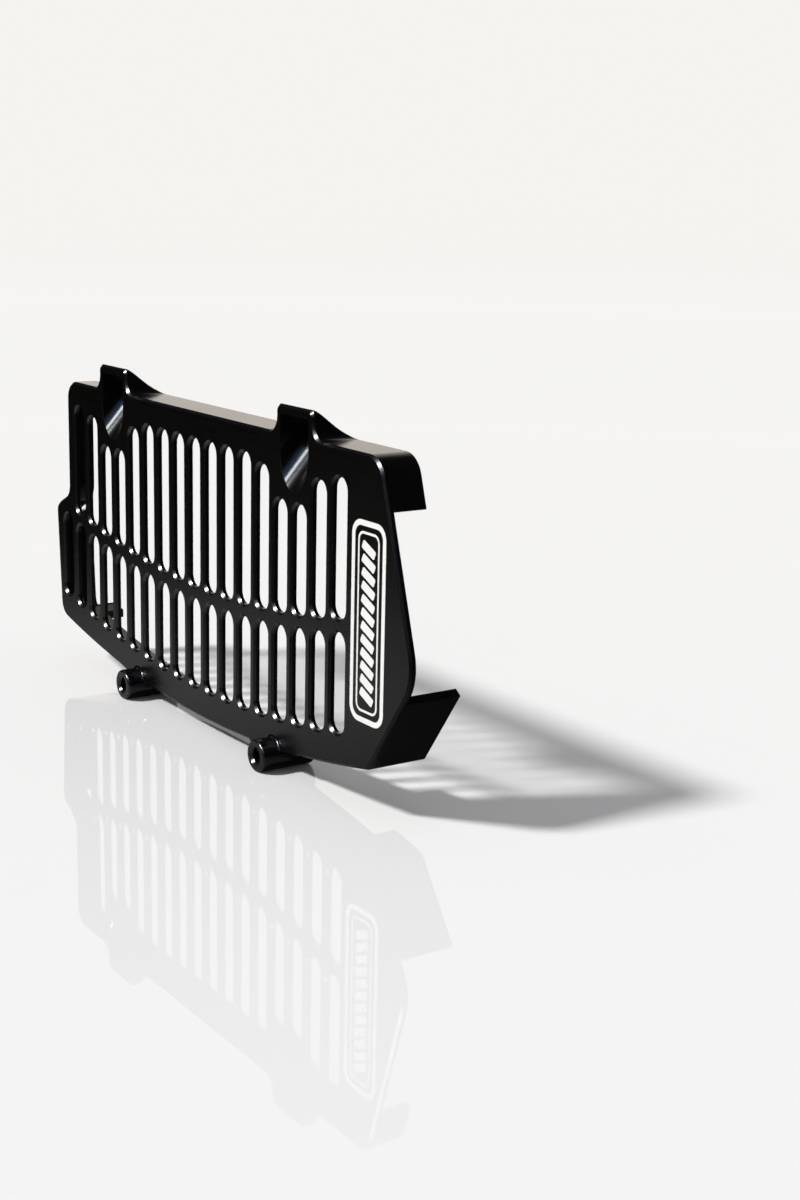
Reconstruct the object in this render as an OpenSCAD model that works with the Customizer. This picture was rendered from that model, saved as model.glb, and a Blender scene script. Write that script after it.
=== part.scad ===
// Radiator guard for a motorcycle, machined from one billet of aluminium.
// x runs along the top edge, y from the front face back towards the radiator, z up.
// The shape is drawn from the middle of the two mounting bosses and the top edge,
// then set down so that the origin is at the middle of the base, under the bosses.

/* [Plate] */
// Thickness of the slotted front plate
plate_t = 2.2; // [1.8:0.1:4]
// Height from the top edge to the lowest point of the curved bottom edge
guard_h = 111.3; // [106:0.1:120]
// Radius of the curved bottom edge, which the slot rows follow
bottom_r = 529; // [440:1:700]
// Reach of the top edge to the left of the middle of the bosses
left_reach = 112; // [110:0.5:120]
// Reach of the top edge to the right, up to the slanted side
right_reach = 113; // [108:0.1:118]

/* [Left side] */
// Band between the step in the left side and the lower slots under it
step_band = 7.8; // [6:0.1:10]
// How far the lower left side stands out past the upper one
step_out = 12.6; // [12:0.1:18]
// Slope of the step, in degrees below level
step_slope = 26; // [10:1:45]
// Lean of the lower left side towards the middle, in degrees
left_lean = 4; // [0:0.5:6]

/* [Right side] */
// Reach of the point of the right side
point_reach = 133.3; // [128:0.1:140]
// Drop from the top edge to the point of the right side
point_drop = 65.5; // [55:0.5:72]
// Slope of the edge from that point down to the bottom, in degrees from upright
heel_slope = 35.3; // [30:0.1:40]

/* [Outline corners] */
// Radius of the top left corner
top_left_r = 7; // [4:0.5:12]
// Radius of the top right corner
top_right_r = 8.5; // [4:0.5:14]
// Radius in the hollow of the step
step_hollow_r = 6; // [2:0.5:8]
// Radius on the shoulder of the step
step_shoulder_r = 4.5; // [4:0.5:8]
// Radius of the lower left corner
lower_left_r = 7; // [4:0.5:12]
// Radius on the point of the right side
point_r = 17; // [8:0.5:24]

/* [Slots] */
// Width of each slot
slot_w = 8.5; // [6:0.1:9.5]
// Distance from one slot to the next
slot_pitch = 12; // [11:0.1:12.4]
// Middle of the last slot on the right
last_slot_x = 90.5; // [86:0.1:94]
// Least band between the upper left side and the first slot of the upper row
upper_side_band = 6; // [4:0.1:10]
// Least band between the lower left side and the first slot of the lower row
lower_side_band = 3.6; // [3.4:0.1:10]
// Length of the slots in the lower row
lower_slot_l = 33; // [20:0.5:36]
// Bar between the two rows
middle_bar = 4.2; // [2:0.1:10]
// Band between the lower row and the bottom edge
bottom_band = 10.5; // [9:0.1:16]
// Drop from the top edge to the upper slots
slot_drop = 9.5; // [7:0.1:14]
// Drop to the slots just beside a lug
slot_drop_beside = 12.1; // [10:0.1:18]
// Drop to the slots under a lug
slot_drop_under = 22; // [21.5:0.1:28]

/* [Walls] */
// Thickness of the walls behind the plate
wall_t = 3.2; // [2:0.1:3.8]
// Depth of the walls, from the front face
wall_depth = 14.2; // [12:0.1:18]
// Depth of the wall round the upper left corner, down to the shoulder of the step
shallow_depth = 9.7; // [6:0.1:12]
// Depth of the deep wall at the lower right and of the tab at the lower left
deep_depth = 22.5; // [18:0.5:30]
// Drop from the top edge to the end of the corner wall, where the side opening starts
opening_drop = 16.4; // [12:0.1:24]
// Distance from the point of the right side to the wall at the foot of the opening
opening_foot = 10.8; // [9:0.1:20]
// Where the deep part of the bottom wall starts, right of the middle
deep_from = 93; // [80:1:102]
// Where the deep tab at the lower left starts, left of the middle
tab_from = 110; // [100:0.5:112]
// Length of that tab
tab_l = 7; // [4:0.5:9]

/* [Lugs] */
// Distance between the middles of the two lugs
lug_spacing = 133.7; // [128:0.1:138]
// Middle of the pair of lugs, right of the middle of the bosses
lug_mid = -3.7; // [-6:0.1:0]
// Width of a lug
lug_w = 22.7; // [20:0.1:23]
// Height of a lug above the top edge
lug_h = 9.45; // [7:0.05:12]
// Depth of the flat top of a lug
lug_flat = 1.5; // [1.4:0.1:3]
// Depth of the flatter foot of the slope at the back of a lug
lug_foot_l = 4; // [3:0.1:6]
// Height of that foot where the steeper slope meets it
lug_foot_h = 2.6; // [2.2:0.1:3.2]
// Radius of the brow, where the flat top meets the slope
lug_brow_r = 3; // [1:0.5:3]
// Radius of the hollow, where the steeper slope meets the foot
lug_hollow_r = 25; // [5:1:25]
// Radius of the top corners of a lug
lug_corner_r = 2.5; // [1:0.5:4]
// Radius of the fillets at the foot of a lug
lug_fillet_r = 5.5; // [2:0.5:6]

/* [Pocket in each lug] */
// Width of the round-bottomed pocket in the front of a lug
pocket_w = 17.7; // [14:0.1:18]
// Drop from the top edge to the lower end of the pocket
pocket_drop = 18.5; // [16:0.1:19]
// Slope of the pocket's floor, in degrees from level
pocket_slope = 49; // [46:0.5:54]
// Thickness of the lip over the pocket, and of the metal behind it
pocket_wall = 3.2; // [2:0.1:3.6]
// Thickness of the metal under the pocket's round floor
pocket_floor_t = 1.5; // [1:0.1:2.4]

/* [Bosses] */
// Distance between the two mounting holes
boss_spacing = 102; // [96:0.5:110]
// Outer diameter of a boss
boss_d = 11.3; // [9:0.1:14]
// Diameter of the mounting hole
hole_d = 5.3; // [4.3:0.1:6.5]
// How far the middle of the hole lies below the bottom edge
boss_below = 1.5; // [0:0.1:3]
// How far a boss stands out in front of the plate
boss_front = 7; // [4:0.1:10]
// Radius of the rounded edge at each end of a boss
boss_edge_r = 0.9; // [0.2:0.1:2]
// Radius of the fillet where a boss meets the front face
boss_fillet_r = 1.2; // [0.5:0.1:2]

/* [Hidden] */
$fn = 96;
big_fn = 720;
over = 1;
anodised = [0.07, 0.07, 0.08];

// The bottom edge and the ends of the slots are arcs round one point on the middle line
arc_centre_z = bottom_r - guard_h;
lower_slot_foot_r = bottom_r - bottom_band;
lower_slot_head_r = lower_slot_foot_r - lower_slot_l;
upper_slot_foot_r = lower_slot_head_r - middle_bar;
function arc_z(x, r) = arc_centre_z - sqrt(r * r - x * x);

// As many slots fit in each row as leave the band at the left side free
function slots_up_to(reach) = 1 + floor((last_slot_x + reach - slot_w / 2) / slot_pitch);
upper_count = slots_up_to(left_reach - upper_side_band);
lean_in = (lower_slot_l + step_band) * tan(left_lean);
lower_count = slots_up_to(left_reach + step_out - lean_in - lower_side_band);
first_lower_x = last_slot_x - (lower_count - 1) * slot_pitch;
step_drop = -arc_z(first_lower_x, lower_slot_head_r) - step_band
    - (-first_lower_x - left_reach) * tan(step_slope);

lug_x = [lug_mid - lug_spacing / 2, lug_mid + lug_spacing / 2];
boss_x = [-boss_spacing / 2, boss_spacing / 2];
boss_z = arc_z(boss_spacing / 2, bottom_r) - boss_below;
boss_r = boss_d / 2;
hole_r = hole_d / 2;

// Corners of the outline, drawn round to the left from the top right. The last but one
// and the one before lie below the bottom edge, where the arc cuts them off.
below_z = -guard_h - 20;
shoulder = [-left_reach - step_out, -step_drop - step_out * tan(step_slope)];
corners = [
    [right_reach, 0],
    [-left_reach, 0],
    [-left_reach, -step_drop],
    shoulder,
    [shoulder[0] + (shoulder[1] - below_z) * tan(left_lean), below_z],
    [point_reach - (-point_drop - below_z) * tan(heel_slope), below_z],
    [point_reach, -point_drop]
];

function unit(v) = v / norm(v);
function left_of(v) = [-v[1], v[0]];
function turn_at(a, p, b) = cross(p - a, b - p);
function half_angle(a, p, b) = acos(unit(a - p) * unit(b - p)) / 2;
function tangent_l(a, p, b, r) = r / tan(half_angle(a, p, b));
function arc_middle(a, p, b, r) =
    p + unit(unit(a - p) + unit(b - p)) * r / sin(half_angle(a, p, b));

// Corner p between a and b, moved inwards by d from both edges
function moved_in(a, p, b, d) =
    let (n1 = left_of(unit(p - a)), n2 = left_of(unit(b - p)))
    p + (n1 + n2) * d / (1 + n1 * n2);

// Polygon, given round to the left, with a true arc at each corner that has a radius
module rounded_polygon(points, radii) {
    n = len(points);
    before = [for (i = [0 : n - 1]) points[(i + n - 1) % n]];
    after = [for (i = [0 : n - 1]) points[(i + 1) % n]];
    round_corners = [for (i = [0 : n - 1]) if (radii[i] > 0) i];
    difference() {
        union() {
            polygon([for (i = [0 : n - 1])
                each radii[i] > 0
                    ? let (l = tangent_l(before[i], points[i], after[i], radii[i]))
                        [points[i] + unit(before[i] - points[i]) * l,
                         points[i] + unit(after[i] - points[i]) * l]
                    : [points[i]]]);
            for (i = round_corners)
                if (turn_at(before[i], points[i], after[i]) > 0)
                    translate(arc_middle(before[i], points[i], after[i], radii[i]))
                        circle(r = radii[i]);
        }
        for (i = round_corners)
            if (turn_at(before[i], points[i], after[i]) < 0)
                translate(arc_middle(before[i], points[i], after[i], radii[i]))
                    circle(r = radii[i]);
    }
}

// The guard's outline, or the same outline drawn further in by inset
module outline(inset = 0) {
    n = len(corners);
    c = [for (i = [0 : n - 1])
        moved_in(corners[(i + n - 1) % n], corners[i], corners[(i + 1) % n], inset)];
    // The lower left corner lies between the straight side and the arc: its circle
    // touches both, at side_touch and arc_touch
    arc_middle_point = [0, arc_centre_z];
    arc_r = bottom_r - inset;
    r = lower_left_r - inset;
    down = unit(c[4] - c[3]);
    m = c[3] + left_of(down) * r - arc_middle_point;
    along = -(m * down) + sqrt(pow(m * down, 2) - m * m + pow(arc_r - r, 2));
    middle = c[3] + left_of(down) * r + down * along;
    side_touch = c[3] + down * along;
    arc_touch = arc_middle_point + (middle - arc_middle_point) * arc_r / (arc_r - r);
    past_arc = side_touch + (arc_touch - side_touch) * 2;
    intersection() {
        rounded_polygon(
            [c[0], c[1], c[2], c[3], side_touch, past_arc, [past_arc[0], c[5][1]], c[5], c[6]],
            [top_right_r - inset, top_left_r - inset, step_hollow_r + inset,
             step_shoulder_r - inset, 0, 0, 0, 0, point_r - inset]);
        translate(arc_middle_point) circle(r = arc_r, $fn = big_fn);
    }
    translate(middle) circle(r = r);
}

// Draws a front view and gives it depth, from y = start backwards
module from_front(depth, start = 0)
    translate([0, start + depth, 0]) rotate([90, 0, 0]) linear_extrude(depth) children();

// Draws a side view, with y to its right, and gives it width about x = 0
module across(width)
    translate([-width / 2, 0, 0]) rotate([90, 0, 90]) linear_extrude(width) children();

module slot(x, head_z, foot_z) {
    r = slot_w / 2;
    translate([x, head_z - r]) circle(r = r);
    translate([x, foot_z + r]) circle(r = r);
    translate([x - r, foot_z + r]) square([slot_w, head_z - foot_z - slot_w]);
}

// Drop of an upper slot: those under a lug are shortest, and those beside one shorter
function upper_drop(x) =
    let (gap = min([for (l = lug_x) abs(x - l)]))
    gap < lug_w / 2 ? slot_drop_under
    : gap < lug_w / 2 + slot_pitch ? slot_drop_beside
    : slot_drop;

module slots() {
    for (i = [0 : upper_count - 1]) {
        x = last_slot_x - i * slot_pitch;
        slot(x, -upper_drop(x), arc_z(x, upper_slot_foot_r));
    }
    for (i = [0 : lower_count - 1]) {
        x = last_slot_x - i * slot_pitch;
        slot(x, arc_z(x, lower_slot_head_r), arc_z(x, lower_slot_foot_r));
    }
}

module front_plate() color(anodised) from_front(plate_t) outline();

// Areas of the front view in which the walls are deeper, shallower or left out
far = 200;
shallow_to = lug_x[0] - lug_w / 2;
module shallow_area() translate([-far, shoulder[1] - wall_t]) square([far + shallow_to, far]);
module deep_area() {
    translate([deep_from, -far]) square([far, far - opening_drop]);
    translate([-tab_from - tab_l, -far]) square([tab_l, far - guard_h / 2]);
}
module side_opening() {
    heel_way = [-sin(heel_slope), -cos(heel_slope)];
    across_wall = left_of(heel_way);
    foot = [point_reach, -point_drop] + heel_way * opening_foot;
    reach_in = 4 * wall_t;
    polygon([
        [foot[0] - reach_in, -opening_drop],
        foot - across_wall * reach_in,
        foot + across_wall * reach_in,
        [far, foot[1]],
        [far, -opening_drop]
    ]);
}

module rim() difference() {
    outline();
    outline(wall_t);
    side_opening();
}

module rim_walls() color(anodised) {
    from_front(wall_depth) difference() {
        rim();
        shallow_area();
    }
    from_front(shallow_depth) intersection() {
        rim();
        shallow_area();
    }
    from_front(deep_depth) intersection() {
        rim();
        deep_area();
    }
}

// Side view of a lug: a hook above the top wall whose back slopes down to that wall
lug_slope = atan((lug_h - lug_foot_h) / (wall_depth - lug_foot_l - lug_flat));
module lug_side()
    rounded_polygon(
        [[0, lug_h],
         [0, -wall_t],
         [wall_depth, -wall_t],
         [wall_depth, 0],
         [wall_depth - lug_foot_l, lug_foot_h],
         [lug_flat, lug_h]],
        [0, 0, 0, 0, lug_hollow_r, lug_brow_r]);

module lug_front() {
    half = lug_w / 2;
    foot = half + lug_fillet_r + over;
    rounded_polygon(
        [[foot, -wall_t], [foot, 0], [half, 0], [half, lug_h],
         [-half, lug_h], [-half, 0], [-foot, 0], [-foot, -wall_t]],
        [0, 0, lug_fillet_r, lug_corner_r, lug_corner_r, lug_fillet_r, 0, 0]);
}

module lug() color(anodised) intersection() {
    from_front(wall_depth) lug_front();
    across(lug_w + 2 * lug_fillet_r + 4 * over) lug_side();
}

// Round-bottomed groove that runs back and up from the lower end of the pocket. With a
// wall it is wider and lower by that much.
module groove(wall = 0) {
    r = pocket_w / 2;
    groove_l = 2 * pocket_drop;
    translate([0, 0, -pocket_drop]) rotate([pocket_slope - 90, 0, 0])
        translate([0, 0, -groove_l / 2]) linear_extrude(2 * groove_l) {
            translate([0, -r]) circle(r = r + wall);
            translate([-r - wall, -r - groove_l]) square([pocket_w + 2 * wall, groove_l]);
        }
}

// The metal round the pocket, behind the plate and under the top wall
module pocket_back() color(anodised) intersection() {
    groove(pocket_floor_t);
    translate([-lug_w / 2, 0, -guard_h / 2]) cube([lug_w, wall_depth, guard_h / 2]);
}

module pocket() {
    pocket_depth = wall_depth - pocket_wall;
    lip_z = lug_h - pocket_wall;
    lip_y = lug_flat - pocket_wall * tan(lug_slope / 2);
    roof_z = lip_z - (pocket_depth - lip_y) * tan(lug_slope);
    intersection() {
        groove();
        across(pocket_w + 2 * over) polygon([
            [-over, -pocket_drop - over],
            [pocket_depth, -pocket_drop - over],
            [pocket_depth, roof_z],
            [lip_y, lip_z],
            [-over, lip_z]
        ]);
    }
}

// A boss reaches from in front of the plate back to the rear edge of the bottom wall
module boss() color(anodised) {
    boss_l = boss_front + wall_depth;
    translate([0, wall_depth, 0]) rotate([90, 0, 0]) rotate_extrude()
        rounded_polygon(
            [[0, 0], [boss_r, 0], [boss_r, boss_l], [0, boss_l]],
            [0, boss_edge_r, boss_edge_r, 0]);
}

// Ring with a hollow flank, in front of the plate and only as far as the plate reaches
module boss_fillets() color(anodised) intersection() {
    from_front(boss_fillet_r, -boss_fillet_r) outline();
    for (x = boss_x) translate([x, 0, boss_z]) rotate([90, 0, 0]) rotate_extrude()
        difference() {
            square([boss_r + boss_fillet_r, boss_fillet_r]);
            translate([boss_r + boss_fillet_r, boss_fillet_r]) circle(r = boss_fillet_r);
        }
}

module mounting_hole()
    translate([0, deep_depth + over, 0]) rotate([90, 0, 0])
        cylinder(h = deep_depth + boss_front + 2 * over, r = hole_r);

module radiator_guard() color(anodised) difference() {
    union() {
        front_plate();
        rim_walls();
        for (x = lug_x) translate([x, 0, 0]) {
            lug();
            pocket_back();
        }
        for (x = boss_x) translate([x, 0, boss_z]) boss();
        boss_fillets();
    }
    from_front(wall_depth + 2 * over, -over) slots();
    for (x = lug_x) translate([x, 0, 0]) pocket();
    for (x = boss_x) translate([x, 0, boss_z]) mounting_hole();
}

// Middle of the whole guard, which the origin lies under
left_end = arc_middle(corners[2], corners[3], corners[4], step_shoulder_r)[0] - step_shoulder_r;
right_end = arc_middle(corners[5], corners[6], corners[0], point_r)[0] + point_r;
middle_x = (left_end + right_end) / 2;
middle_y = (deep_depth - boss_front) / 2;
base_z = boss_z - boss_r;

translate([-middle_x, -middle_y, -base_z]) radiator_guard();
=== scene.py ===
# %% [markdown]
# A radiator guard, milled from one billet
#
# The part is a slotted plate with low walls behind it, two hooked lugs on its top edge
# and two bolt bosses under its bottom edge. The solid comes ready made, so this lesson is
# about what the solid lacks: edges that are chamfered as on a milled part, an anodised
# finish with the marks of the cutter in it, a laser mark, and a small studio.

import math

import bmesh
import bpy
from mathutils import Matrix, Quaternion, Vector


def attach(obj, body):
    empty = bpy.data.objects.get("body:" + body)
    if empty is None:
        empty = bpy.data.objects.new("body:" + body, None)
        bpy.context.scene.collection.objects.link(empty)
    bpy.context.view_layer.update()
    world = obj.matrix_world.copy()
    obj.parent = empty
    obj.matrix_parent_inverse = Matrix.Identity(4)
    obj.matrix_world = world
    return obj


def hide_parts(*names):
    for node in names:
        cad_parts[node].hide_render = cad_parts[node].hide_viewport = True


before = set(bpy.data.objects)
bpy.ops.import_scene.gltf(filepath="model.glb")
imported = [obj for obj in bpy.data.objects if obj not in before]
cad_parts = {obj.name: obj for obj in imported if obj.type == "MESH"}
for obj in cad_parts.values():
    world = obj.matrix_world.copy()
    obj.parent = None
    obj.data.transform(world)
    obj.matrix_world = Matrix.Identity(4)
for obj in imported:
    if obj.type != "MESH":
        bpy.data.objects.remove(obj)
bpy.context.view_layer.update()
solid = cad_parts["radiator_guard"]
scene = bpy.context.scene
MM = 0.001

# %% [markdown]
# The camera stands where the photographer's did: to the right, in front and a little
# above, close enough for a strong perspective. Its place, the point it aims at and its
# small roll were solved from the even spacing of the slots.

# %% Camera
CAMERA_PLACE = Vector((554.67, -307.52, 197.55)) * MM
CAMERA_AIM = Vector((121.67, -7.75, 74.42)) * MM
CAMERA_ROLL = math.radians(1.28)
CAMERA_LENS = 54.15


def make_camera():
    """Sets up a camera by the point it looks at, then rolls it about its own axis."""
    data = bpy.data.cameras.new("photo_camera")
    data.lens = CAMERA_LENS
    data.sensor_width = 36.0
    data.clip_start = 0.01
    data.clip_end = 50.0
    camera = bpy.data.objects.new("photo_camera", data)
    scene.collection.objects.link(camera)
    camera.location = CAMERA_PLACE
    camera.rotation_mode = "QUATERNION"
    aim = (CAMERA_AIM - CAMERA_PLACE).to_track_quat("-Z", "Y")
    camera.rotation_quaternion = aim @ Quaternion((0, 0, 1), CAMERA_ROLL)
    scene.camera = camera


make_camera()
print("camera:", round((CAMERA_AIM - CAMERA_PLACE).length, 3), "m from the guard's face")

# %% [markdown]
# The finishes, the laser mark and the studio are all trees of nodes. A tree is long when
# each node takes three lines, so a few helpers come first: one adds a node, one does a
# sum, one mixes two colours and one gives a node group a named socket.

# %% Helpers for node trees
def new_material(name):
    """A node material that holds only its shader and its output."""
    material = bpy.data.materials.new(name)
    material.use_nodes = True
    tree = material.node_tree
    shader = next(node for node in tree.nodes if node.type == "BSDF_PRINCIPLED")
    return material, tree, shader


def add(tree, kind, **settings):
    """A new node with its settings."""
    node = tree.nodes.new(kind)
    for key, value in settings.items():
        setattr(node, key, value)
    return node


def math_node(tree, operation, *values, clamp=False):
    """A Math node whose inputs are sockets or numbers; returns its output."""
    node = add(tree, "ShaderNodeMath", operation=operation, use_clamp=clamp)
    for socket, value in zip(node.inputs, values):
        if isinstance(value, (int, float)):
            socket.default_value = value
        else:
            tree.links.new(value, socket)
    return node.outputs[0]


def colour_mix(tree, factor, first, second):
    """A colour between two, each a socket or three numbers."""
    mix = add(tree, "ShaderNodeMix", data_type="RGBA")
    tree.links.new(factor, mix.inputs["Factor"])
    for name, value in (("A", first), ("B", second)):
        if isinstance(value, tuple):
            mix.inputs[name].default_value = (*value, 1.0)
        else:
            tree.links.new(value, mix.inputs[name])
    return mix.outputs["Result"]


def group_socket(tree, name, direction, kind="NodeSocketFloat", value=None):
    """One named socket on a node group."""
    socket = tree.interface.new_socket(name=name, in_out=direction, socket_type=kind)
    if value is not None:
        socket.default_value = value


# %% [markdown]
# Two kinds of marks show in the finish. The face cutter leaves fine near-parallel lines
# on the flats, and the blasted and dyed skin has a very fine grain of its own. Both go
# into one node group, because the flats, the chamfers and the laser mark all need them
# in different amounts. The lines are a noise that varies in height alone, bent a little
# by a slower noise, and a third noise clouds the dye.

# %% Node group for the cutter's marks and the grain
BEND_SCALE = 9.0
BEND_REACH = 10 * MM
CLOUD_SCALE = 28.0
CLOUD_IN_SHINE = 0.5
MARKS_IN_TONE = 0.6


def noise(tree, dimensions, place, detail, scale):
    """The value of a noise at a socket's place; its scale is a number or a socket."""
    node = add(tree, "ShaderNodeTexNoise", noise_dimensions=dimensions)
    tree.links.new(place, node.inputs["W" if dimensions == "1D" else "Vector"])
    node.inputs["Detail"].default_value = detail
    if isinstance(scale, float):
        node.inputs["Scale"].default_value = scale
    else:
        tree.links.new(scale, node.inputs["Scale"])
    return node.outputs["Fac"]


def make_milled_skin():
    """Object coordinates in, a tone mask, a roughness shift and a height out."""
    tree = bpy.data.node_groups.new("milled_skin", "ShaderNodeTree")
    group_socket(tree, "Line spacing", "INPUT", value=0.9 * MM)
    group_socket(tree, "Line strength", "INPUT", value=0.4)
    group_socket(tree, "Grain size", "INPUT", value=0.18 * MM)
    group_socket(tree, "Grain strength", "INPUT", value=0.5)
    group_socket(tree, "Tone", "OUTPUT")
    group_socket(tree, "Shine", "OUTPUT")
    group_socket(tree, "Height", "OUTPUT")
    link = tree.links.new
    entry = add(tree, "NodeGroupInput").outputs
    leave = add(tree, "NodeGroupOutput").inputs
    place = add(tree, "ShaderNodeTexCoord").outputs["Object"]

    # Lines that follow the guard's length, a little bent by a slow noise
    split = add(tree, "ShaderNodeSeparateXYZ")
    link(place, split.inputs[0])
    bend = noise(tree, "3D", place, detail=1.0, scale=BEND_SCALE)
    drift = math_node(tree, "MULTIPLY_ADD", bend, BEND_REACH, split.outputs["Z"])
    count = math_node(tree, "DIVIDE", drift, entry["Line spacing"])
    lines = noise(tree, "1D", count, detail=2.0, scale=1.0)

    # Grain, finer than the lines, and the slow cloudiness of the dye
    grains = math_node(tree, "DIVIDE", 1.0, entry["Grain size"])
    grain = noise(tree, "3D", place, detail=3.0, scale=grains)
    cloud = noise(tree, "3D", place, detail=2.0, scale=CLOUD_SCALE)

    def weighted(source, strength):
        """Takes a 0..1 noise to -0.5..0.5 and scales it."""
        return math_node(tree, "MULTIPLY", math_node(tree, "SUBTRACT", source, 0.5), strength)

    line_part = weighted(lines, entry["Line strength"])
    grain_part = weighted(grain, entry["Grain strength"])
    height = math_node(tree, "ADD", line_part, grain_part)
    link(height, leave["Height"])
    link(math_node(tree, "MULTIPLY_ADD", cloud, CLOUD_IN_SHINE, height), leave["Shine"])
    tone = math_node(tree, "MULTIPLY_ADD", height, MARKS_IN_TONE, cloud, clamp=True)
    link(tone, leave["Tone"])
    return tree


milled_skin = make_milled_skin()
print("node group:", milled_skin.name, len(milled_skin.nodes), "nodes")

# %% [markdown]
# Black anodising is a clear, hard oxide skin with dye in it, over metal. It reflects like
# a clear coat and shows hardly any metal, so the shader is a near-black dielectric whose
# reflection at a glancing angle is strong. That is why the top wall looks pale and the
# front looks black in the same light. One function makes every finish of the guard. Of
# the black ones the milled walls are the smoothest, the front is the roughest, and the
# chamfers reflect the most.

# %% Anodised finish
DYED = ((0.0012, 0.0011, 0.0012), (0.0030, 0.0028, 0.0030))
# The front's tones are darker than the walls' dye. This is painted shade that keeps the front as
# dark as it looks in this light.
FRONT_DYE_WITH_PAINTED_SHADE = ((0.0008, 0.0007, 0.0006), (0.0022, 0.0019, 0.0017))
SHINE_RANGE = (-0.1, 0.6)
RELIEF_DEPTH = 0.02 * MM


def make_anodised(name, tones, rough, lines, bump, ior):
    """A dyed skin between two tones and two roughnesses, with the cutter's lines in it."""
    material, tree, shader = new_material(name)
    link = tree.links.new
    skin = add(tree, "ShaderNodeGroup", node_tree=milled_skin)
    skin.inputs["Line strength"].default_value = lines
    link(colour_mix(tree, skin.outputs["Tone"], *tones), shader.inputs["Base Color"])
    blur = add(tree, "ShaderNodeMapRange")
    for end, value in zip(("From Min", "From Max", "To Min", "To Max"), (*SHINE_RANGE, *rough)):
        blur.inputs[end].default_value = value
    link(skin.outputs["Shine"], blur.inputs["Value"])
    link(blur.outputs["Result"], shader.inputs["Roughness"])
    relief = add(tree, "ShaderNodeBump")
    relief.inputs["Strength"].default_value = bump
    relief.inputs["Distance"].default_value = RELIEF_DEPTH
    link(skin.outputs["Height"], relief.inputs["Height"])
    link(relief.outputs["Normal"], shader.inputs["Normal"])
    shader.inputs["IOR"].default_value = ior
    shader.inputs["Metallic"].default_value = 0.0
    return material


milled = make_anodised(
    "black_anodised_milled", DYED, rough=(0.15, 0.22), lines=0.35, bump=0.35, ior=1.4
)
broken_edge = make_anodised(
    "black_anodised_edges", DYED, rough=(0.22, 0.26), lines=0.1, bump=0.2, ior=1.6
)
satin_front = make_anodised(
    "black_anodised_front", FRONT_DYE_WITH_PAINTED_SHADE, rough=(0.25, 0.33), lines=0.5, bump=0.5, ior=1.4
)
print("materials:", milled.name, broken_edge.name, satin_front.name)

# %% [markdown]
# On the real part the outer edges are chamfered at 45 degrees: wide enough on the front
# to catch a lamp as a round dot at the end of each slot, and only just broken at the back
# and round the pockets. The edges are told apart by the angle between their two faces and
# by where they lie. Where a boss runs into the plate, the edges are too short and tangled
# for a chamfer, so the long edges there are cut, and their chamfer ends beside the boss.

# %% Which edges get a chamfer
EDGE_ANGLE = math.radians(35)
SMALL_SHARE = 0.2
PLATE_FRONT = -7.75 * MM
BOSS_FRONT = -14.75 * MM
FRONT_WITHIN = 0.02 * MM
BOSS_PLACES = ((-54.59 * MM, 5.65 * MM), (47.41 * MM, 5.65 * MM))
BOSS_ZONE_R = 8.5 * MM
BOSS_ZONE_Y = (-13.0 * MM, 6.4 * MM)
JUST_OUTSIDE = 1.001
POCKET_PLACES = (-74.14 * MM, 59.56 * MM)
POCKET_HALF_W = 9.3 * MM
POCKET_Z = (97.0 * MM, 122.6 * MM)


def from_boss(point):
    """Distance from the axis of the nearest boss."""
    return min(math.hypot(point.x - x, point.z - z) for x, z in BOSS_PLACES)


def in_boss_zone(point):
    """Where a boss runs into the plate and the bottom wall, in short tangled edges."""
    return BOSS_ZONE_Y[0] < point.y < BOSS_ZONE_Y[1] and from_boss(point) < BOSS_ZONE_R


def in_front_plane(point):
    """True on the front of the plate and on the front ends of the bosses."""
    return min(abs(point.y - PLATE_FRONT), abs(point.y - BOSS_FRONT)) < FRONT_WITHIN


def on_pocket(point):
    """True on the outline of a pocket in the front plane, which is only just broken."""
    aside = min(abs(point.x - x) for x in POCKET_PLACES)
    return POCKET_Z[0] < point.z < POCKET_Z[1] and aside < POCKET_HALF_W


def chamfer_share(edge):
    """The full chamfer on the front edges, a small one at the back and on the pockets."""
    middle = (edge.verts[0].co + edge.verts[1].co) / 2
    return 1.0 if in_front_plane(middle) and not on_pocket(middle) else SMALL_SHARE


def split_at_bosses(shape):
    """Cuts the long edges that run into a boss zone, so that a chamfer ends beside it."""
    for edge in list(shape.edges):
        inside, outside = sorted(edge.verts, key=lambda vert: from_boss(vert.co))
        near, far = from_boss(inside.co), from_boss(outside.co)
        if in_boss_zone(inside.co) and far > BOSS_ZONE_R:
            share = (BOSS_ZONE_R * JUST_OUTSIDE - near) / (far - near)
            bmesh.utils.edge_split(edge, inside, share)


def choose_edges(shape):
    """Gives the outer edges their chamfer's share, and keeps the inner corners crisp."""
    weight = shape.edges.layers.float.new("bevel_weight_edge")
    chosen = 0
    for edge in shape.edges:
        turn = edge.calc_face_angle_signed(0.0)
        if abs(turn) < EDGE_ANGLE:
            continue
        if turn < 0 or any(in_boss_zone(vert.co) for vert in edge.verts):
            edge.smooth = False
        else:
            edge[weight] = chamfer_share(edge)
            chosen += 1
    print("edges to chamfer:", chosen)


# %% [markdown]
# One piece of metal, three finishes, so each face gets the slot of its own. The Bevel
# modifier gives the chamfers theirs, but the round at the end of a boss is already in the
# solid, so its faces are found by their distance from the boss's axis.

# %% Which finish a face gets
MILLED, EDGE, FRONT = range(3)
FACES_FORWARD = -0.999
BOSS_RING_R = 4.4 * MM
BOSS_RING_DEPTH = 1.0 * MM


def finish_of(face):
    """The material slot of a face: satin on the front, edge finish on a boss's round."""
    middle = face.calc_center_median()
    if face.normal.y < FACES_FORWARD and in_front_plane(middle):
        return FRONT
    on_ring = middle.y < BOSS_FRONT + BOSS_RING_DEPTH and from_boss(middle) > BOSS_RING_R
    return EDGE if on_ring else MILLED


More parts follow.
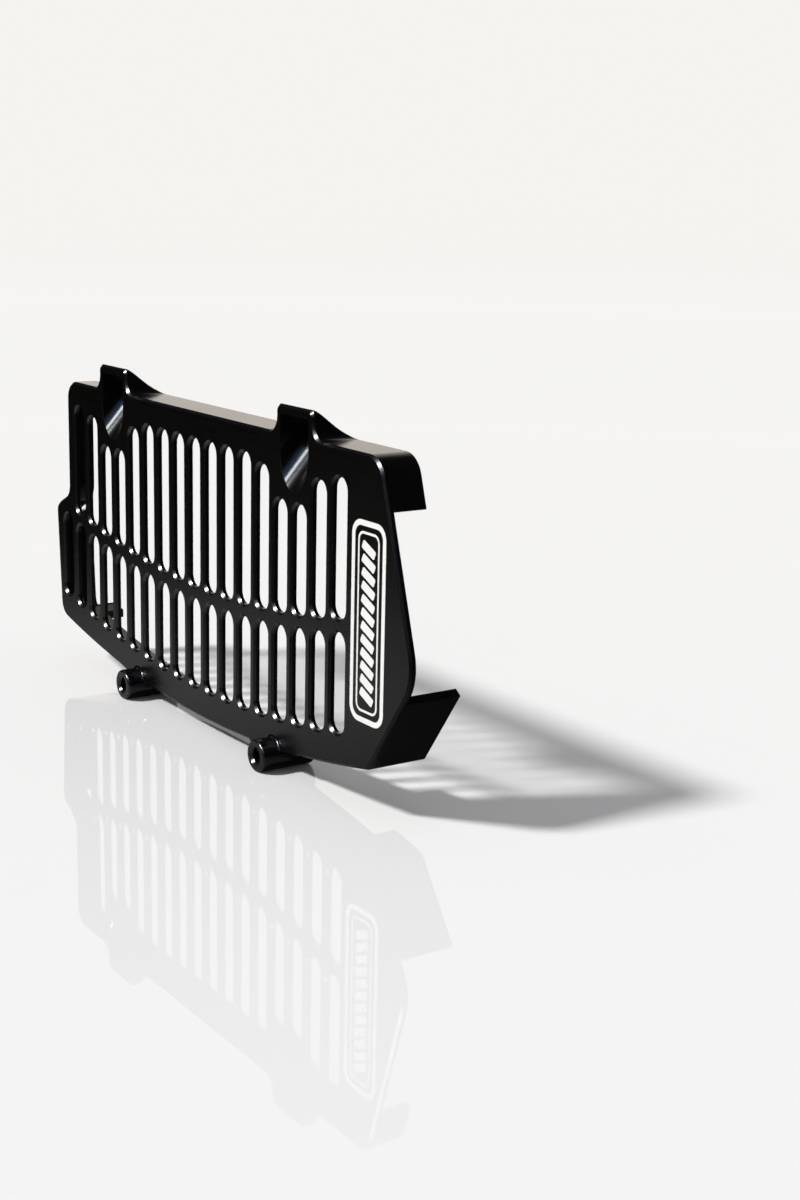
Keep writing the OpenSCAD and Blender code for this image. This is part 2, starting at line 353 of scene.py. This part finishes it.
# %% [markdown]
# The solid's mesh is loose triangles, so a copy is merged and its flat areas are joined
# into single faces. A Bevel modifier with one segment then cuts each marked edge to a flat
# chamfer. Smooth shading across such an edge would smear the dots into streaks, so the
# borders of each chamfer are marked sharp, and Weighted Normal keeps the large flats flat.
# The materials go on before the faces choose their slots: taking them off afterwards would
# set every face back to the first slot.

# %% Guard with its chamfers
CHAMFER = 0.8 * MM
CRISP_ANGLE = math.radians(25)
MERGE_WITHIN = 0.002 * MM
FLAT_WITHIN = math.radians(0.4)


def crisp_chamfers(mesh):
    """Marks where a chamfer meets a flat as sharp, so that each shades as its own face."""
    shape = bmesh.new()
    shape.from_mesh(mesh)
    for edge in shape.edges:
        if edge.calc_face_angle(0.0) > CRISP_ANGLE:
            edge.smooth = False
    shape.to_mesh(mesh)
    shape.free()


def bake(piece):
    """Gives the piece the mesh that its modifiers make, and takes the modifiers off."""
    evaluated = piece.evaluated_get(bpy.context.evaluated_depsgraph_get())
    made = bpy.data.meshes.new_from_object(evaluated)
    piece.modifiers.clear()
    piece.data = made
    made.name = piece.name


def make_guard():
    """A merged and chamfered copy of the solid's mesh."""
    mesh = solid.data.copy()
    mesh.name = "guard"
    mesh.materials.clear()
    for material in (milled, broken_edge, satin_front):
        mesh.materials.append(material)
    shape = bmesh.new()
    shape.from_mesh(mesh)
    bmesh.ops.remove_doubles(shape, verts=shape.verts[:], dist=MERGE_WITHIN)
    bmesh.ops.dissolve_limit(
        shape, angle_limit=FLAT_WITHIN, verts=shape.verts[:], edges=shape.edges[:]
    )
    split_at_bosses(shape)
    choose_edges(shape)
    for face in shape.faces:
        face.smooth = True
        face.material_index = finish_of(face)
    shape.to_mesh(mesh)
    shape.free()
    guard = bpy.data.objects.new("guard", mesh)
    scene.collection.objects.link(guard)
    bevel = guard.modifiers.new("chamfer", "BEVEL")
    bevel.width = CHAMFER
    bevel.segments = 1
    bevel.limit_method = "WEIGHT"
    bevel.use_clamp_overlap = False
    bevel.loop_slide = False
    bevel.material = EDGE
    bake(guard)
    crisp_chamfers(guard.data)
    weights = guard.modifiers.new("flat_normals", "WEIGHTED_NORMAL")
    weights.mode = "FACE_AREA"
    weights.weight = 80
    weights.keep_sharp = True
    bake(guard)
    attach(guard, "root")
    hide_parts("radiator_guard")
    return guard


guard = make_guard()
print("guard:", len(guard.data.polygons), "faces after the chamfers")

# %% [markdown]
# On the plain field at the right is a laser mark, where the beam has bleached the dye to
# an off-white: an upright frame with round corners, a thin line inside it and a column of
# plain slanted bars. What repeats is a job for Geometry Nodes, so a small tree draws the
# two outlines and one bar as filled curves, gives each a film's thickness, and stacks the
# bars on a line of points.

# %% Node tree for the laser mark
CORNER_POINTS = 10
INNER_CORNER_SHARE = 0.6
BAR_CORNER_SHARE = 0.22


def make_mark_tree():
    """Two rounded outlines and a column of bars, in the front plane of the plate."""
    tree = bpy.data.node_groups.new("laser_mark", "GeometryNodeTree")
    tree.is_modifier = True
    for name, kind, value in (
        ("Frame width", "NodeSocketFloat", 18.9 * MM),
        ("Frame height", "NodeSocketFloat", 64.5 * MM),
        ("Frame corner", "NodeSocketFloat", 5.0 * MM),
        ("Frame line", "NodeSocketFloat", 1.8 * MM),
        ("Inset", "NodeSocketFloat", 3.5 * MM),
        ("Inner line", "NodeSocketFloat", 0.8 * MM),
        ("Bar count", "NodeSocketInt", 12),
        ("Bar pitch", "NodeSocketFloat", 4.25 * MM),
        ("Bar width", "NodeSocketFloat", 7.6 * MM),
        ("Bar height", "NodeSocketFloat", 2.9 * MM),
        ("Bar slant", "NodeSocketFloat", math.radians(-24)),
        ("Film", "NodeSocketFloat", 0.03 * MM),
        ("Middle", "NodeSocketVector", (0.0, 0.0, 0.0)),
        ("Finish", "NodeSocketMaterial", None),
    ):
        group_socket(tree, name, "INPUT", kind, value)
    group_socket(tree, "Geometry", "OUTPUT", "NodeSocketGeometry")
    entry = add(tree, "NodeGroupInput").outputs
    link = tree.links.new

    def rounded_box(width, height, corner):
        """A rectangle curve with true round corners."""
        box = add(tree, "GeometryNodeCurvePrimitiveQuadrilateral", mode="RECTANGLE")
        link(width, box.inputs["Width"])
        link(height, box.inputs["Height"])
        fillet = add(tree, "GeometryNodeFilletCurve", mode="POLY")
        link(box.outputs[0], fillet.inputs["Curve"])
        fillet.inputs["Count"].default_value = CORNER_POINTS
        link(corner, fillet.inputs["Radius"])
        return fillet.outputs[0]

    def film(curves):
        """The area inside the curves, given the film's thickness."""
        fill = add(tree, "GeometryNodeFillCurve")
        link(curves, fill.inputs["Curve"])
        raised = add(tree, "GeometryNodeExtrudeMesh", mode="FACES")
        link(fill.outputs[0], raised.inputs["Mesh"])
        link(entry["Film"], raised.inputs["Offset Scale"])
        raised.inputs["Individual"].default_value = False
        return raised.outputs["Mesh"]

    def outline(width, height, corner, line):
        """The band between a rounded box and the same box drawn in by the line."""
        twice = math_node(tree, "MULTIPLY", line, 2.0)
        outer = rounded_box(width, height, corner)
        inner = rounded_box(
            math_node(tree, "SUBTRACT", width, twice),
            math_node(tree, "SUBTRACT", height, twice),
            math_node(tree, "SUBTRACT", corner, line),
        )
        both = add(tree, "GeometryNodeJoinGeometry")
        link(outer, both.inputs[0])
        link(inner, both.inputs[0])
        return film(both.outputs[0])

    def along(axis, length):
        """A vector along one axis."""
        vector = add(tree, "ShaderNodeCombineXYZ")
        link(length, vector.inputs[axis])
        return vector.outputs[0]

    # The frame, and the thin line inside it
    frame_band = outline(
        entry["Frame width"], entry["Frame height"], entry["Frame corner"], entry["Frame line"]
    )
    twice_inset = math_node(tree, "MULTIPLY", entry["Inset"], 2.0)
    corner_inset = math_node(tree, "MULTIPLY", entry["Inset"], INNER_CORNER_SHARE)
    inner_band = outline(
        math_node(tree, "SUBTRACT", entry["Frame width"], twice_inset),
        math_node(tree, "SUBTRACT", entry["Frame height"], twice_inset),
        math_node(tree, "SUBTRACT", entry["Frame corner"], corner_inset),
        entry["Inner line"],
    )

    # One bar, and a point for each place it is wanted, from the lowest up
    bar_corner = math_node(tree, "MULTIPLY", entry["Bar height"], BAR_CORNER_SHARE)
    bar = film(rounded_box(entry["Bar width"], entry["Bar height"], bar_corner))
    gaps = math_node(tree, "SUBTRACT", entry["Bar count"], 1.0)
    column_height = math_node(tree, "MULTIPLY", gaps, entry["Bar pitch"])
    places = add(tree, "GeometryNodeMeshLine", mode="OFFSET", count_mode="TOTAL")
    link(entry["Bar count"], places.inputs["Count"])
    link(along("Y", entry["Bar pitch"]), places.inputs["Offset"])
    lowest = along("Y", math_node(tree, "MULTIPLY", column_height, -0.5))
    link(lowest, places.inputs["Start Location"])
    column = add(tree, "GeometryNodeInstanceOnPoints")
    link(places.outputs[0], column.inputs["Points"])
    link(bar, column.inputs["Instance"])
    link(along("Z", entry["Bar slant"]), column.inputs["Rotation"])

    # All of it stood up into the front plane, made real and given its finish
    drawing = add(tree, "GeometryNodeJoinGeometry")
    for part in (frame_band, inner_band, column.outputs[0]):
        link(part, drawing.inputs[0])
    stood = add(tree, "GeometryNodeTransform")
    link(drawing.outputs[0], stood.inputs["Geometry"])
    link(entry["Middle"], stood.inputs["Translation"])
    stood.inputs["Rotation"].default_value = (math.radians(90), 0.0, 0.0)
    real = add(tree, "GeometryNodeRealizeInstances")
    link(stood.outputs[0], real.inputs[0])
    painted = add(tree, "GeometryNodeSetMaterial")
    link(real.outputs[0], painted.inputs["Geometry"])
    link(entry["Finish"], painted.inputs["Material"])
    leave = add(tree, "NodeGroupOutput")
    link(painted.outputs[0], leave.inputs[0])
    return tree


# %% [markdown]
# The mark is the anodised finish again, with pale tones and a duller shine. Its tree runs
# on an empty mesh in a modifier, and the result is kept as a plain mesh.

# %% Laser mark
MARK_TONES = ((0.66, 0.65, 0.62), (0.78, 0.77, 0.74))
MARK_MIDDLE = Vector((104.35, -7.75, 63.2)) * MM

mark_tree = make_mark_tree()
bleached = make_anodised(
    "bleached_mark", MARK_TONES, rough=(0.5, 0.6), lines=0.2, bump=0.3, ior=1.3
)


def input_id(tree, name):
    """The identifier of a tree's named input, which a modifier sets its value by."""
    return next(
        item.identifier
        for item in tree.interface.items_tree
        if item.item_type == "SOCKET" and item.in_out == "INPUT" and item.name == name
    )


def make_mark():
    """Runs the tree on an empty mesh and keeps what it makes."""
    blank = bpy.data.objects.new("laser_mark", bpy.data.meshes.new("laser_mark"))
    scene.collection.objects.link(blank)
    drawn = blank.modifiers.new("laser_mark", "NODES")
    drawn.node_group = mark_tree
    drawn[input_id(mark_tree, "Middle")] = tuple(MARK_MIDDLE)
    drawn[input_id(mark_tree, "Finish")] = bleached
    bake(blank)
    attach(blank, "root")
    return blank


mark = make_mark()
print("laser mark:", len(mark.data.polygons), "faces")

# %% [markdown]
# The studio is a pale sheet as smooth as glass, in which the guard shows as a faint mirror
# image, and a white backdrop. The finish is dark because of what it does not reflect:
# towards the right the room is dark, and the pale sheet is lit only near the guard. Both
# are set for blurred reflections alone, so the camera and the sheet's own sharp mirror
# image still see an even white. Light Path tells the kinds of rays apart.

# %% Helper for the studio
def blurred_reflection(tree):
    """1 for a ray that left a satin surface as a reflection, 0 for any other ray."""
    path = add(tree, "ShaderNodeLightPath")
    not_sharp = math_node(tree, "SUBTRACT", 1.0, path.outputs["Is Singular Ray"])
    return math_node(tree, "MULTIPLY", path.outputs["Is Glossy Ray"], not_sharp)


# %% [markdown]
# The sheet is one large face at the level that the bosses stand on. For the camera it is
# a smooth dielectric. For blurred reflections it turns black away from the guard, by a
# bell curve of the distance from the middle of the lit patch.

# %% Floor
FLOOR_SIZE = 8.0
SHEET_TONE = (0.77, 0.76, 0.75, 1.0)
SHEET_IOR = 1.3
LIT_MIDDLE = Vector((-60, -60, 0)) * MM
LIT_REACH = (170 * MM, 120 * MM, 1.0)
LIT_LEVEL = 0.58


def make_floor():
    """The sheet, with its two looks mixed by the kind of ray."""
    half = FLOOR_SIZE / 2
    corners = [(-half, -half, 0), (half, -half, 0), (half, half, 0), (-half, half, 0)]
    mesh = bpy.data.meshes.new("floor")
    mesh.from_pydata(corners, [], [(0, 1, 2, 3)])
    floor = bpy.data.objects.new("floor", mesh)
    scene.collection.objects.link(floor)
    material, tree, shader = new_material("pale_sheet")
    link = tree.links.new
    shader.inputs["Base Color"].default_value = SHEET_TONE
    shader.inputs["Roughness"].default_value = 0.0
    shader.inputs["IOR"].default_value = SHEET_IOR

    # The bell curve: 1 in the middle of the lit patch, 0 far from it; the sheet's height
    # is nothing, so its reach in height is any number
    place = add(tree, "ShaderNodeTexCoord")
    offset = add(tree, "ShaderNodeVectorMath", operation="SUBTRACT")
    link(place.outputs["Object"], offset.inputs[0])
    offset.inputs[1].default_value = LIT_MIDDLE
    steps = add(tree, "ShaderNodeVectorMath", operation="DIVIDE")
    link(offset.outputs[0], steps.inputs[0])
    steps.inputs[1].default_value = LIT_REACH
    squared = add(tree, "ShaderNodeVectorMath", operation="DOT_PRODUCT")
    link(steps.outputs[0], squared.inputs[0])
    link(steps.outputs[0], squared.inputs[1])
    bell = math_node(tree, "EXPONENT", math_node(tree, "MULTIPLY", squared.outputs["Value"], -1.0))

    # Black where a blurred reflection meets the unlit sheet
    unlit = math_node(tree, "SUBTRACT", 1.0, math_node(tree, "MULTIPLY", bell, LIT_LEVEL))
    dark = add(tree, "ShaderNodeBsdfDiffuse")
    dark.inputs["Color"].default_value = (0.0, 0.0, 0.0, 1.0)
    mix = add(tree, "ShaderNodeMixShader")
    link(math_node(tree, "MULTIPLY", blurred_reflection(tree), unlit), mix.inputs[0])
    link(shader.outputs[0], mix.inputs[1])
    link(dark.outputs[0], mix.inputs[2])
    leave = next(node for node in tree.nodes if node.type == "OUTPUT_MATERIAL")
    link(mix.outputs[0], leave.inputs["Surface"])
    mesh.materials.append(material)


make_floor()
print("floor:", FLOOR_SIZE, "m wide, lit to", LIT_LEVEL, "in the guard's reflections")

# %% [markdown]
# The world has three looks. The camera sees the backdrop's white, soft light on the guard
# comes from a much darker fill, and the finish reflects a room that is nearly black but
# for three places: the backdrop behind the guard, a narrow bright strip that draws the
# streaks in the pockets, and a wide bluish glow round that strip.

# %% Backdrop and the room in the reflections
BACKDROP_TONE = (0.913, 0.900, 0.872)
FILL_TONE = (0.30, 0.31, 0.33)
ROOM_TONE = (0.004, 0.005, 0.011)
REFLECTED_TONE = (1.13, 1.035, 0.933)
GLOW_TONE = (0.5, 0.8, 1.5)
STRIP_TONE = (38.0, 40.0, 42.0)
BACKDROP_SIDE = Vector((-0.6, 0.8, 0.0)).normalized()
GLOW_SIDE = Vector((0.42, -0.52, 0.74)).normalized()
STRIP_SIDE = Vector((0.28, -0.60, 0.75)).normalized()
BACKDROP_ANGLES = (50, 28)
GLOW_ANGLES = (30, 8)
STRIP_ANGLES = (7, 4)


def lobe(tree, direction, toward, angles):
    """1 within the second angle of a direction, in degrees, and 0 outside the first."""
    dot = add(tree, "ShaderNodeVectorMath", operation="DOT_PRODUCT")
    tree.links.new(direction, dot.inputs[0])
    dot.inputs[1].default_value = toward
    fade = add(tree, "ShaderNodeMapRange", interpolation_type="SMOOTHSTEP")
    for end, angle in zip(("From Min", "From Max"), angles):
        fade.inputs[end].default_value = math.cos(math.radians(angle))
    tree.links.new(dot.outputs["Value"], fade.inputs["Value"])
    return fade.outputs["Result"]


def make_world():
    """An even white for the camera, a soft fill, and the room for blurred reflections."""
    world = bpy.data.worlds.new("studio")
    world.use_nodes = True
    tree = world.node_tree
    tree.nodes.clear()
    direction = add(tree, "ShaderNodeTexCoord").outputs["Generated"]
    room = ROOM_TONE
    for side, angles, tone in (
        (BACKDROP_SIDE, BACKDROP_ANGLES, REFLECTED_TONE),
        (GLOW_SIDE, GLOW_ANGLES, GLOW_TONE),
        (STRIP_SIDE, STRIP_ANGLES, STRIP_TONE),
    ):
        room = colour_mix(tree, lobe(tree, direction, side, angles), room, tone)
    is_diffuse = add(tree, "ShaderNodeLightPath").outputs["Is Diffuse Ray"]
    seen = colour_mix(tree, is_diffuse, BACKDROP_TONE, FILL_TONE)
    seen = colour_mix(tree, blurred_reflection(tree), seen, room)
    backdrop = add(tree, "ShaderNodeBackground")
    tree.links.new(seen, backdrop.inputs["Color"])
    leave = add(tree, "ShaderNodeOutputWorld")
    tree.links.new(backdrop.outputs[0], leave.inputs["Surface"])
    scene.world = world


make_world()
print("world:", scene.world.name, len(scene.world.node_tree.nodes), "nodes")

# %% [markdown]
# Two suns light the guard from above its front. The key light draws the shadow on the
# sheet and is left out of reflections, because the room has its own strip for them. The
# glint light is the other way round: it shows only as a reflection, in the chamfers, as
# the round dots at the ends of the slots.

# %% Key light and glint light
KEY_FROM = Vector((-0.25, -0.64, 0.73)).normalized()
KEY_STRENGTH = 3.8
GLINT_FROM = Vector((-0.063, -0.741, 0.667)).normalized()
GLINT_STRENGTH = 6.5
LAMP_ANGLE = math.radians(8.0)


def make_sun(name, toward, strength):
    """A sun whose light comes from the side that the vector points to."""
    data = bpy.data.lights.new(name, "SUN")
    data.energy = strength
    data.angle = LAMP_ANGLE
    lamp = bpy.data.objects.new(name, data)
    scene.collection.objects.link(lamp)
    lamp.location = toward
    lamp.rotation_mode = "QUATERNION"
    lamp.rotation_quaternion = toward.to_track_quat("Z", "Y")
    return lamp


key = make_sun("key_light", KEY_FROM, KEY_STRENGTH)
key.visible_glossy = False
glint = make_sun("glint_light", GLINT_FROM, GLINT_STRENGTH)
glint.visible_diffuse = False
scene.view_settings.view_transform = "Standard"
print("lamps:", key.name, KEY_STRENGTH, "and", glint.name, GLINT_STRENGTH)
